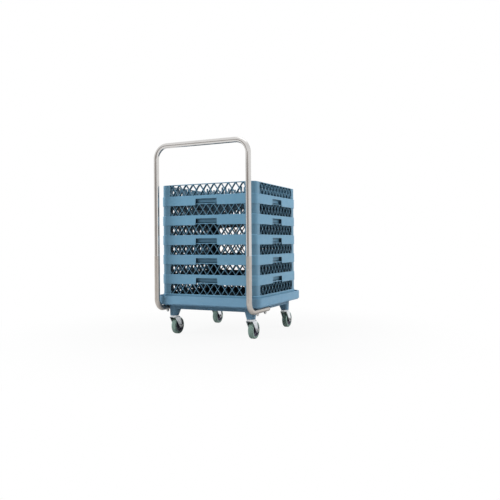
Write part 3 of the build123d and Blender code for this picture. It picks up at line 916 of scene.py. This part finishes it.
class TROLLEY_OT_baskets(bpy.types.Operator):
    """Models the open and the pegged basket and stacks copies of them"""
    bl_idname = "trolley.baskets"
    bl_label = "Baskets"

    def execute(self, context):
        sizes = context.scene.trolley_basket
        first = len(BASKETS) - sizes.pegged
        for with_pegs in (False, True):
            levels = BASKETS[first:] if with_pegs else BASKETS[:first]
            pattern = basket_pattern(sizes, with_pegs)
            for node in levels:
                low, high, middle = span(node)
                place = Matrix.Translation((middle.x, middle.y, low.z))
                basket = copied(pattern, place, "moulded_" + node)
                # The top basket, open above, gets less painted shade inside.
                if node == BASKETS[-1]:
                    for inner in basket.data.attributes[PAINTED_SHADE_LAYER].data:
                        inner.value *= OPEN_TOP_SHADE
                stand_for(basket, "basket_plastic", node)
            bpy.data.objects.remove(pattern)
        return {"FINISHED"}


# Deck, modelled about its own middle and then moved there.

def deck_rim(sizes, half, top):
    rim = plain_ring("rim", half, sizes.corner_radius, top - sizes.rim_height, sizes.rim_height,
                     sizes.rim_wall, steps=14)
    round_edges(rim, sizes.rim_rounding, segments=3)
    return rim


def deck_tray(sizes, half, tray_top):
    """The pierced tray, with windows everywhere but over the bosses."""
    cells, pitch = sizes.windows, sizes.window_pitch
    edge = cells * pitch / 2
    low = tray_top - sizes.tray_thickness
    bpy.ops.mesh.primitive_grid_add(x_subdivisions=cells, y_subdivisions=cells, size=2 * edge,
                                    location=(0, 0, low))
    plate = newest("tray")
    corner = edge - pitch
    with editing(plate):
        pick(plate, "faces")
        bpy.ops.mesh.inset(thickness=(pitch - sizes.window_side) / 2, use_individual=True)
        windows = [face.index for face in bmesh.from_edit_mesh(plate.data).faces if face.select]
        pick(plate, "faces", lambda face: face.index in windows and not beyond(face, corner))
        bpy.ops.mesh.bevel(offset=sizes.window_radius, segments=5, affect="VERTICES",
                           clamp_overlap=False)
        pick(plate, "faces", lambda face: is_window(face, pitch) and not beyond(face, corner))
        bpy.ops.mesh.delete(type="FACE")
    thickened(plate, edge, half - sizes.rim_wall + UNDERLAP, low, sizes.tray_thickness,
              sizes.corner_radius - sizes.rim_wall + UNDERLAP)
    round_edges(plate, sizes.rounding)
    return plate


def is_window(face, pitch):
    """True for the rounded face in the middle of a cell."""
    middle = face.calc_center_median()
    offsets = [abs(middle[axis] - pitch * round(middle[axis] / pitch)) for axis in (0, 1)]
    return max(offsets) < MM / 10 and is_cap(face)


def deck_frame(sizes, half, tray_top):
    """The under-frame and the ribs that cross it."""
    frame_half = half - sizes.frame_inset
    radius = sizes.corner_radius - sizes.rim_wall
    low = tray_top - sizes.frame_depth
    height = sizes.frame_depth - sizes.tray_thickness + UNDERLAP
    ring = plain_ring("frame", frame_half, radius, low, height, sizes.frame_wall)
    tray_bottom = tray_top - sizes.tray_thickness
    length = 2 * frame_half - sizes.frame_wall
    parts = [ring]
    for index in range(sizes.windows - 1):
        offset = (index - (sizes.windows - 2) / 2) * sizes.window_pitch
        for along_y in (True, False):
            width, depth = (sizes.rib_wall, length) if along_y else (length, sizes.rib_wall)
            place = (offset, 0) if along_y else (0, offset)
            low_rib = tray_bottom - sizes.rib_depth + (0 if along_y else UNDERLAP / 4)
            parts.append(slab("rib", width, depth, sizes.rib_depth + UNDERLAP, (*place, low_rib)))
    frame_part = joined("frame", parts)
    round_edges(frame_part, sizes.rounding)
    return frame_part


def deck_boss(sizes, x_side, y_side, foot, top, spacing):
    """A tapered socket for one caster, wider towards the deck's middle at its top."""
    place = (x_side * spacing, y_side * spacing, foot)
    boss = slab("boss", sizes.boss_side, sizes.boss_side, top - foot + UNDERLAP, place,
                sizes.boss_radius, steps=6)
    grown = (sizes.boss_side + sizes.boss_spread) / sizes.boss_side
    with editing(boss):
        pick(boss, "verts", lambda vert: vert.co.z > top)
        centre = (place[0], place[1], top)
        bpy.ops.transform.resize(value=(grown, grown, 1), center_override=centre)
        bpy.ops.transform.translate(value=(-x_side * sizes.boss_lean, -y_side * sizes.boss_lean, 0))
    round_edges(boss, sizes.rounding, segments=3)
    return boss


def leg_pads(sizes, tray_bottom):
    """The flat pads that the handle legs bolt up against."""
    pads = []
    middle = span("deck")[2]
    for low, high in solid_boxes("leg_nuts"):
        x, y = (low.x + high.x) / 2, (low.y + high.y) / 2 - middle.y
        pads.append(slab("pad", sizes.pad_width, sizes.pad_length, sizes.pad_height + UNDERLAP,
                         (x, y, tray_bottom - sizes.pad_height), sizes.pad_radius, steps=3))
    pads = joined("pads", pads)
    round_edges(pads, sizes.rounding / 2)
    return pads


def solid_boxes(node):
    """The lowest and highest corners of each separate solid of a node."""
    shape = bmesh.new()
    shape.from_mesh(frame["nodes"][node].data)
    bmesh.ops.remove_doubles(shape, verts=shape.verts, dist=TINY)
    left = set(shape.verts)
    boxes = []
    while left:
        stack = [left.pop()]
        found = []
        while stack:
            vert = stack.pop()
            found.append(vert.co.copy())
            for line in vert.link_edges:
                other = line.other_vert(vert)
                if other in left:
                    left.remove(other)
                    stack.append(other)
        low = Vector([min(point[axis] for point in found) for axis in range(3)])
        high = Vector([max(point[axis] for point in found) for axis in range(3)])
        boxes.append((low, high))
    shape.free()
    return sorted(boxes, key=lambda pair: tuple(round(part, 4) for part in pair[0]))


class TROLLEY_OT_deck(bpy.types.Operator):
    """Models the deck: raised rim, pierced tray, under-frame, caster bosses and leg pads"""
    bl_idname = "trolley.deck"
    bl_label = "Deck"

    def execute(self, context):
        sizes = context.scene.trolley_deck
        low, high, middle = span("deck")
        half = (high.x - low.x) / 2
        tray_top = span("leg_bolts")[1].z - LEG_BOLT_HEAD
        tray_bottom = tray_top - sizes.tray_thickness
        inner = half - sizes.rim_wall + UNDERLAP
        ledge = plain_ring("ledge", inner, sizes.corner_radius - sizes.rim_wall + UNDERLAP,
                           tray_top - UNDERLAP, sizes.ledge_height + UNDERLAP,
                           sizes.ledge_width + UNDERLAP)
        round_edges(ledge, sizes.rounding)
        spacing = (span("lower_race_front_right")[2] - span("lower_race_front_left")[2]).x / 2
        upper = [deck_rim(sizes, half, high.z), ledge, deck_tray(sizes, half, tray_top)]
        under = [deck_frame(sizes, half, tray_top), leg_pads(sizes, tray_bottom)]
        for x_side in (-1, 1):
            for y_side in (-1, 1):
                under.append(deck_boss(sizes, x_side, y_side, low.z, tray_bottom, spacing))
        # The under-frame, pads and bosses get painted shade.
        for part in under:
            mark_painted_shade(part, lambda face: UNDERSIDE_SHADE)
        for part in upper + under:
            part.data.transform(Matrix.Translation((middle.x, middle.y, 0)))
        finished("deck_moulding", upper + under, "deck_plastic", "deck")
        return {"FINISHED"}


# Handle: tubes drawn from a circle along straight runs and bends.

def tube_start(name, radius, place):
    bpy.ops.mesh.primitive_circle_add(vertices=40, radius=radius, fill_type="NOTHING",
                                      location=place)
    return newest(name)


def tube_bend(centre, axis, steps=16):
    bpy.ops.mesh.spin(steps=steps, angle=-QUARTER_TURN, center=centre, axis=axis)


def tube_finish(tube, wall, slot, node):
    with editing(tube):
        outward_faces()
    modify(tube, "SOLIDIFY", thickness=wall, offset=-1, use_rim=True, use_even_offset=True)
    round_edges(tube, wall / 4, segments=2, angle=50)
    finished(tube.name, [tube], slot, node)


def bow_tube(sizes):
    low, high, middle = span("handle_bow")
    radius = (high.y - low.y) / 2
    bend = sizes.bow_bend
    x = high.x - radius
    shoulder = high.z - radius - bend
    tube = tube_start("bow_tube", radius, (-x, middle.y, low.z))
    with editing(tube):
        bpy.ops.mesh.select_all(action="SELECT")
        lift(z=shoulder - low.z)
        tube_bend((bend - x, middle.y, shoulder), (0, 1, 0))
        lift(x=2 * (x - bend))
        tube_bend((x - bend, middle.y, shoulder), (0, 1, 0))
        lift(z=low.z - shoulder)
    tube_finish(tube, sizes.wall, "polished_steel", "handle_bow")


def leg_tube(sizes, node):
    low, high, middle = span(node)
    radius = (high.x - low.x) / 2
    bend = sizes.leg_bend
    y, level = low.y + radius, low.z + radius
    tube = tube_start(node.replace("handle_leg", "leg_tube"), radius, (middle.x, y, high.z))
    with editing(tube):
        bpy.ops.mesh.select_all(action="SELECT")
        lift(z=level + bend - high.z)
        tube_bend((middle.x, y + bend, level + bend), (1, 0, 0))
        lift(y=high.y - y - bend)
    tube_finish(tube, sizes.wall, "satin_steel", node)


def turned(piece, steps, pierced=False):
    """Steps on both end caps of a disc, each an inward and an outward distance.
    A pierced disc is then opened from cap to cap."""
    with editing(piece):
        pick(piece, "faces", is_cap)
        for inward, outward in steps:
            bpy.ops.mesh.inset(thickness=inward, depth=outward)
        if pierced:
            bpy.ops.mesh.bridge_edge_loops()
        outward_faces()


def socket(piece, axis, crown, width, sizes):
    """Sinks a round socket into the flat top of a head; width is that top's radius."""
    def on_top(face):
        return is_cap(face) and abs(face.calc_center_median()[axis] - crown) < TINY

    with editing(piece):
        pick(piece, "faces", on_top)
        bpy.ops.mesh.inset(thickness=width - sizes.socket_radius, depth=0)
        bpy.ops.mesh.inset(thickness=sizes.socket_radius / 10, depth=-sizes.socket_depth)


def screw(axis, ends, middle, radius, dome, shank_radius, sides=20, rounding=0.6 * MM, steps=4):
    """A domed head with a socket, and its shank. Ends are the head's top, its seat and the
    shank's tip along the axis; dome is the height and width of the head's rounding."""
    crown, seat, tip = ends

    def on_crown(line):
        return all(abs(vert.co[axis] - crown) < TINY for vert in line.verts)

    head = rod("head", axis, crown, seat, radius, middle, sides=32)
    with editing(head):
        pick(head, "edges", on_crown)
        bpy.ops.mesh.bevel(offset=dome, segments=steps, affect="EDGES")
    socket(head, axis, crown, radius - dome, bpy.context.scene.trolley_handle)
    shank = rod("shank", axis, seat, tip, shank_radius, middle, sides)
    round_edges(shank, rounding)
    return [head, shank]


def joint_screws(sizes):
    """Two domed screws on the side of the tubes that faces the person pushing."""
    seat = span("handle_bow")[0].y
    screws = []
    for low, high in solid_boxes("joint_screws"):
        screws += screw(1, (low.y, seat, high.y), (low + high) / 2, (high.z - low.z) / 2,
                        (seat - low.y) * JOINT_SCREW_DOME, sizes.screw_radius, sides=16,
                        rounding=0.4 * MM, steps=5)
    finished("socket_screws", screws, "hardware", "joint_screws")


def leg_bolts(sizes):
    bolts = []
    for low, high in solid_boxes("leg_bolts"):
        bolts += screw(2, (high.z, high.z - LEG_BOLT_HEAD, low.z), (low + high) / 2,
                       (high.x - low.x) / 2, LEG_BOLT_HEAD / 2, sizes.bolt_radius,
                       rounding=0.7 * MM)
    finished("carriage_bolts", bolts, "hardware", "leg_bolts")


def leg_plugs(sizes):
    """Plugs with a dished flange outside the tube and a stub inside it."""
    plugs = []
    end = span("handle_leg_left")[1].y
    for low, high in solid_boxes("leg_plugs"):
        middle = (low + high) / 2
        radius = (high.x - low.x) / 2
        flange = rod("flange", 1, end, high.y, radius, middle)
        turned(flange, [(radius * DISH_START, 0), DISH_STEP])
        round_edges(flange, width=0.9 * MM, segments=3)
        bore = radius - sizes.wall - sizes.plug_fit
        stub = rod("stub", 1, low.y, end, bore, middle, sides=32)
        round_edges(stub, width=1.2 * MM)
        plugs += [flange, stub]
    finished("tube_plugs", plugs, "plug_plastic", "leg_plugs")


def hex_nut(low, high, axis, bore):
    """A chamfered nut that fills the box between two corners."""
    size, middle = high - low, (low + high) / 2
    across = max(part for index, part in enumerate(size) if index != axis)
    half = size[axis] / 2

    def bar(name, radius, reach, sides):
        return rod(name, axis, middle[axis] - reach, middle[axis] + reach, radius, middle, sides)

    nut = bar("nut", across / 2, half, 6)
    if not same_size(nut, size):
        centre = Matrix.Translation(middle)
        spin = Matrix.Rotation(QUARTER_TURN, 4, "XYZ"[axis])
        nut.data.transform(centre @ spin @ centre.inverted())
    chamfer = bar("chamfer", across / 2 - NUT_CHAMFER, half * TRIM_LENGTH, 48)
    round_edges(chamfer, width=0.9 * MM)
    combine(nut, chamfer, "INTERSECT")
    combine(nut, bar("bore", bore, size[axis], 32), "DIFFERENCE")
    round_edges(nut, width=0.25 * MM, angle=25)
    return nut


def same_size(piece, size):
    """True when a piece's box has this size, to a tenth of a millimetre."""
    corners = [Vector(corner) for corner in piece.bound_box]
    extent = [max(corner[axis] for corner in corners) - min(corner[axis] for corner in corners)
              for axis in range(3)]
    return all(abs(first - second) < MM / 10 for first, second in zip(extent, size))


def leg_nuts(sizes):
    nuts = [hex_nut(low, high, 2, sizes.bolt_radius) for low, high in solid_boxes("leg_nuts")]
    finished("hex_nuts", nuts, "hardware", "leg_nuts")


class TROLLEY_OT_handle(bpy.types.Operator):
    """Models the push handle: the bow, the two legs and their screws, bolts, nuts and plugs"""
    bl_idname = "trolley.handle"
    bl_label = "Handle"

    def execute(self, context):
        sizes = context.scene.trolley_handle
        bow_tube(sizes)
        for side in ("left", "right"):
            leg_tube(sizes, "handle_leg_" + side)
        joint_screws(sizes)
        leg_plugs(sizes)
        leg_bolts(sizes)
        leg_nuts(sizes)
        return {"FINISHED"}


# Casters: each piece is modelled at the first caster and copied to the others.

def fork(sizes, node):
    """Sheet bent over the wheel, trimmed to the outline from the crown to the axle eye."""
    low, high, middle = span(node)
    half = (high.x - low.x) / 2
    reach = high.y - low.y + 2 * UNDERLAP
    block = bent_block("fork", half, middle, low.z, high.z, reach, sizes.fork_bend)
    hollow = bent_block("hollow", half - sizes.fork_sheet, middle, low.z - UNDERLAP,
                        high.z - sizes.crown_sheet, reach + UNDERLAP,
                        sizes.fork_bend - sizes.fork_sheet)
    combine(block, hollow, "DIFFERENCE")
    axle = span(node.replace("fork", "axle_bolt"))[2]
    side = half + UNDERLAP
    eye = rod("outline", 0, middle.x - side, middle.x + side, sizes.eye_radius, axle)
    crown = slab("crown", 2 * side, sizes.crown_length, HULL_PLATE,
                 (middle.x, low.y + sizes.crown_length / 2, high.z - HULL_PLATE))
    outline = joined("outline", [eye, crown])
    with editing(outline):
        bpy.ops.mesh.select_all(action="SELECT")
        bpy.ops.mesh.convex_hull()
    combine(block, outline, "INTERSECT")
    round_edges(block, sizes.fork_sheet / 6, angle=50)
    return block


def bent_block(name, half, middle, low, high, reach, bend):
    """An upright block whose two long upper edges are bent round."""
    def is_bend(line):
        first, second = (vert.co for vert in line.verts)
        return min(first.z, second.z) > high - TINY and same_x(line)

    block = slab(name, 2 * half, reach, high - low, (middle.x, middle.y, low))
    with editing(block):
        pick(block, "edges", is_bend)
        bpy.ops.mesh.bevel(offset=bend, segments=6, affect="EDGES")
    return block


def race(low, high):
    """A flat ring plate with a shallow dish on both faces."""
    radius, height = (high.x - low.x) / 2, high.z - low.z
    plate = rod("race", 2, low.z, high.z, radius, (low + high) / 2, sides=64)
    turned(plate, [(radius * RACE_START, 0), RACE_STEP])
    round_edges(plate, height / 5, segments=3)
    return plate


def fork_race(sizes, node):
    return race(*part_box(node))


def axle_bolt(sizes, node):
    low, high, middle = span(node)
    seat = span(node.replace("axle_bolt", "fork"))[0].x
    return joined("axle", screw(0, (low.x, seat, high.x), middle, (high.y - low.y) / 2,
                                (seat - low.x) / 3, sizes.axle_radius, sides=24))


def wheel_core(sizes, node):
    """A disc wheel: hub, web and rim stepped into both faces, with a bore for the axle sleeve."""
    low, high, middle = span(node)
    radius = (high.y - low.y) / 2
    left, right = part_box(node.replace("wheel_core", "tyre"))
    rim_half = (right.x - left.x) / 2 - sizes.rim_recess
    core = rod("core", 0, middle.x - rim_half, middle.x + rim_half, radius, middle, sides=72)
    web_half, draft = sizes.web_thickness / 2, sizes.draft
    rim_inner = radius - sizes.rim_thickness
    turned(core, [(sizes.rim_thickness, 0),
                  (draft, web_half - rim_half),
                  (rim_inner - sizes.hub_radius - 2 * draft, 0),
                  (draft, sizes.hub_width / 2 - web_half),
                  (sizes.hub_radius - sizes.bore_radius, 0)], pierced=True)
    round_edges(core, sizes.draft * 0.8, segments=3, angle=30)
    return core


def tyre(sizes, node):
    low, high, middle = span(node)
    radius = (high.y - low.y) / 2
    shoulder = sizes.tread_shoulder
    band = rod("tyre", 0, low.x, high.x, radius, middle, sides=72)
    with editing(band):
        pick(band, "edges", same_x)
        bpy.ops.mesh.bevel(offset=shoulder, segments=6, affect="EDGES")
    turned(band, [(sizes.tread_thickness - shoulder, 0)], pierced=True)
    return band


def axle_nut(sizes, node):
    low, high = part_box(node)
    return hex_nut(low, high, 0, sizes.axle_radius)


# Each piece of a caster: its node, its maker, the name of its piece and its slot.
CASTER_PIECES = (
    ("fork", fork, "bent_fork", "zinc"),
    ("axle_bolt", axle_bolt, "axle_screw", "hardware"),
    ("axle_nut", axle_nut, "axle_hex_nut", "hardware"),
    ("wheel_core", wheel_core, "wheel_disc", "wheel_plastic"),
    ("tyre", tyre, "wheel_tread", "tread_rubber"),
    ("lower_race", fork_race, "fork_race", "zinc"),
)


class TROLLEY_OT_casters(bpy.types.Operator):
    """Models one swivel caster and copies it to the four bosses; adds the upper races"""
    bl_idname = "trolley.casters"
    bl_label = "Casters"

    def execute(self, context):
        sizes = context.scene.trolley_caster
        for kind, make, name, slot in CASTER_PIECES:
            first = kind + "_" + CASTERS[0]
            pattern = make(sizes, first)
            smooth(pattern)
            dress(pattern, slot)
            for caster in CASTERS:
                node = kind + "_" + caster
                place = Matrix.Translation(span(node)[2] - span(first)[2])
                stand_for(copied(pattern, place, name + "_" + caster), slot, node)
            bpy.data.objects.remove(pattern)
        races = [race(low, high) for low, high in solid_boxes("upper_races")]
        finished("deck_races", races, "zinc", "upper_races")
        return {"FINISHED"}


class TROLLEY_OT_fittings(bpy.types.Operator):
    """Finishes the inner parts that keep their exact shape: stems, balls and sleeves"""
    bl_idname = "trolley.fittings"
    bl_label = "Inner fittings"

    def execute(self, context):
        for node, piece in frame["nodes"].items():
            if node.startswith(("caster_stems", "race_balls", "joint_sleeves", "axle_sleeve")):
                for slot in piece.material_slots:
                    slot.material = material("hardware")
        return {"FINISHED"}


# Stage: floor, studio, lamps and camera.

def floor_material(tone, glow):
    """Pale floor that keeps soft shadows and fades to white away from the trolley. Under it,
    shiny surfaces see the shaded floor instead of white."""
    finish = bpy.data.materials.new("studio_floor")
    tree = NodeTree(finish)
    shader = tree.nodes["Principled BSDF"]
    tree.fill(shader, {"Base Color": (tone, tone, tone, 1), "Roughness": 0.9,
                       "Specular IOR Level": 0.0})
    white = tree.add("Emission", {"Strength": 1.0})[0]
    place = tree.add("TexCoord", {})["Object"]
    away = tree.add("VectorMath", {0: place}, operation="LENGTH")["Value"]
    mirrored = tree.between(away, *MIRROR_FADE, start=MIRROR_SHARE, kind="SMOOTHSTEP")
    fade = tree.between(away, *FLOOR_FADE, start=glow, kind="SMOOTHSTEP")
    share = tree.maths("MULTIPLY", tree.background_share(mirrored), fade)
    tree.mix_out(share, shader.outputs[0], white, "Material Output")
    return finish


def studio_world(sky):
    world = bpy.data.worlds.new("studio")
    tree = NodeTree(world)
    around = tree.nodes["Background"]
    tree.fill(around, {"Color": WHITE, "Strength": sky})
    white = tree.add("Background", {"Color": WHITE, "Strength": 1.0})[0]
    tree.mix_out(tree.background_share(), around.outputs[0], white, "World Output")
    bpy.context.scene.world = world


def aimed(place, target, axis):
    """The turn that points an axis from a place to a target."""
    return (Vector(target) - Vector(place)).to_track_quat(axis, "Y").to_euler()


def softbox(name, watts, size, place, target):
    bpy.ops.object.light_add(type="AREA", location=place)
    lamp = bpy.context.object
    lamp.name = name
    lamp.data.shape = "RECTANGLE"
    lamp.data.size, lamp.data.size_y = size
    lamp.data.energy = watts
    lamp.rotation_euler = aimed(place, target, "-Z")
    return lamp


def grey_card(tone, target):
    """A warm grey card that only shiny surfaces see, for the dark stripe in the polished tube."""
    bpy.ops.mesh.primitive_plane_add(size=1, location=CARD_PLACE)
    card = bpy.context.object
    card.name = "grey_card"
    card.scale = (*CARD_SIZE, 1)
    card.rotation_euler = aimed(CARD_PLACE, target, "Z")
    finish = bpy.data.materials.new("grey_card")
    tree = NodeTree(finish)
    light = tree.add("Emission", {"Color": (*[tone * part for part in CARD_TINT], 1)})[0]
    tree.links.new(light, tree.nodes["Material Output"].inputs["Surface"])
    card.data.materials.append(finish)
    for ray in ("camera", "diffuse", "shadow", "transmission"):
        setattr(card, "visible_" + ray, False)
    card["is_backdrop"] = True


class TROLLEY_OT_stage(bpy.types.Operator):
    """Sets up the floor, the soft studio light and the camera"""
    bl_idname = "trolley.stage"
    bl_label = "Stage"

    def execute(self, context):
        stage = context.scene.trolley_stage
        bpy.ops.mesh.primitive_plane_add(size=stage.floor_size, location=(0, 0, -FLOOR_DROP))
        floor = context.object
        floor.name = "floor"
        floor.data.materials.append(floor_material(stage.floor_tone, stage.floor_glow))
        floor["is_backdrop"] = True
        studio_world(stage.sky)
        target = [(low + high) / 2 for low, high in zip(*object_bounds())]
        for name, (size, place, mirrored) in SOFTBOXES.items():
            lamp = softbox(name + "_softbox", getattr(stage, name + "_lamp"), size, place, target)
            lamp.visible_glossy = mirrored
        grey_card(stage.card_tone, target)
        bpy.ops.object.camera_add(location=stage.camera_place,
                                  rotation=(QUARTER_TURN, stage.camera_roll, stage.camera_turn))
        camera = context.object
        camera.name = "camera"
        camera.data.sensor_width = SENSOR
        camera.data.lens = SENSOR * stage.focal_pixels / stage.picture_side
        camera.data.shift_y = -stage.horizon_rise / stage.picture_side
        context.scene.camera = camera
        context.scene.view_settings.view_transform = "Standard"
        return {"FINISHED"}


GROUPS = {
    "trolley_basket": BasketSizes,
    "trolley_deck": DeckSizes,
    "trolley_handle": HandleSizes,
    "trolley_caster": CasterSizes,
    "trolley_finishes": Finishes,
    "trolley_stage": StageSettings,
}
OPERATORS = (TROLLEY_OT_stage, TROLLEY_OT_baskets, TROLLEY_OT_deck, TROLLEY_OT_handle,
             TROLLEY_OT_casters, TROLLEY_OT_fittings)


class TROLLEY_PT_sidebar(bpy.types.Panel):
    """Lists the sizes, the finishes and the steps that build the trolley"""
    bl_label = "Basket trolley"
    bl_space_type = "VIEW_3D"
    bl_region_type = "UI"
    bl_category = PANEL_TAB

    def draw(self, context):
        for kind in OPERATORS:
            self.layout.operator(kind.bl_idname)
        for name, group in GROUPS.items():
            box = self.layout.box()
            box.label(text=group.__doc__)
            for setting in group.__annotations__:
                box.prop(getattr(context.scene, name), setting)


CLASSES = (*GROUPS.values(), *OPERATORS, TROLLEY_PT_sidebar)


def register():
    for kind in CLASSES:
        bpy.utils.register_class(kind)
    for name, group in GROUPS.items():
        setattr(bpy.types.Scene, name, PointerProperty(type=group))


def unregister():
    for name in GROUPS:
        delattr(bpy.types.Scene, name)
    for kind in reversed(CLASSES):
        bpy.utils.unregister_class(kind)


def main():
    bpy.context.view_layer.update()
    register()
    deselect()
    for kind in OPERATORS:
        step = kind.bl_idname.split(".")[1]
        getattr(bpy.ops.trolley, step)()


if __name__ == "__main__":
    main()
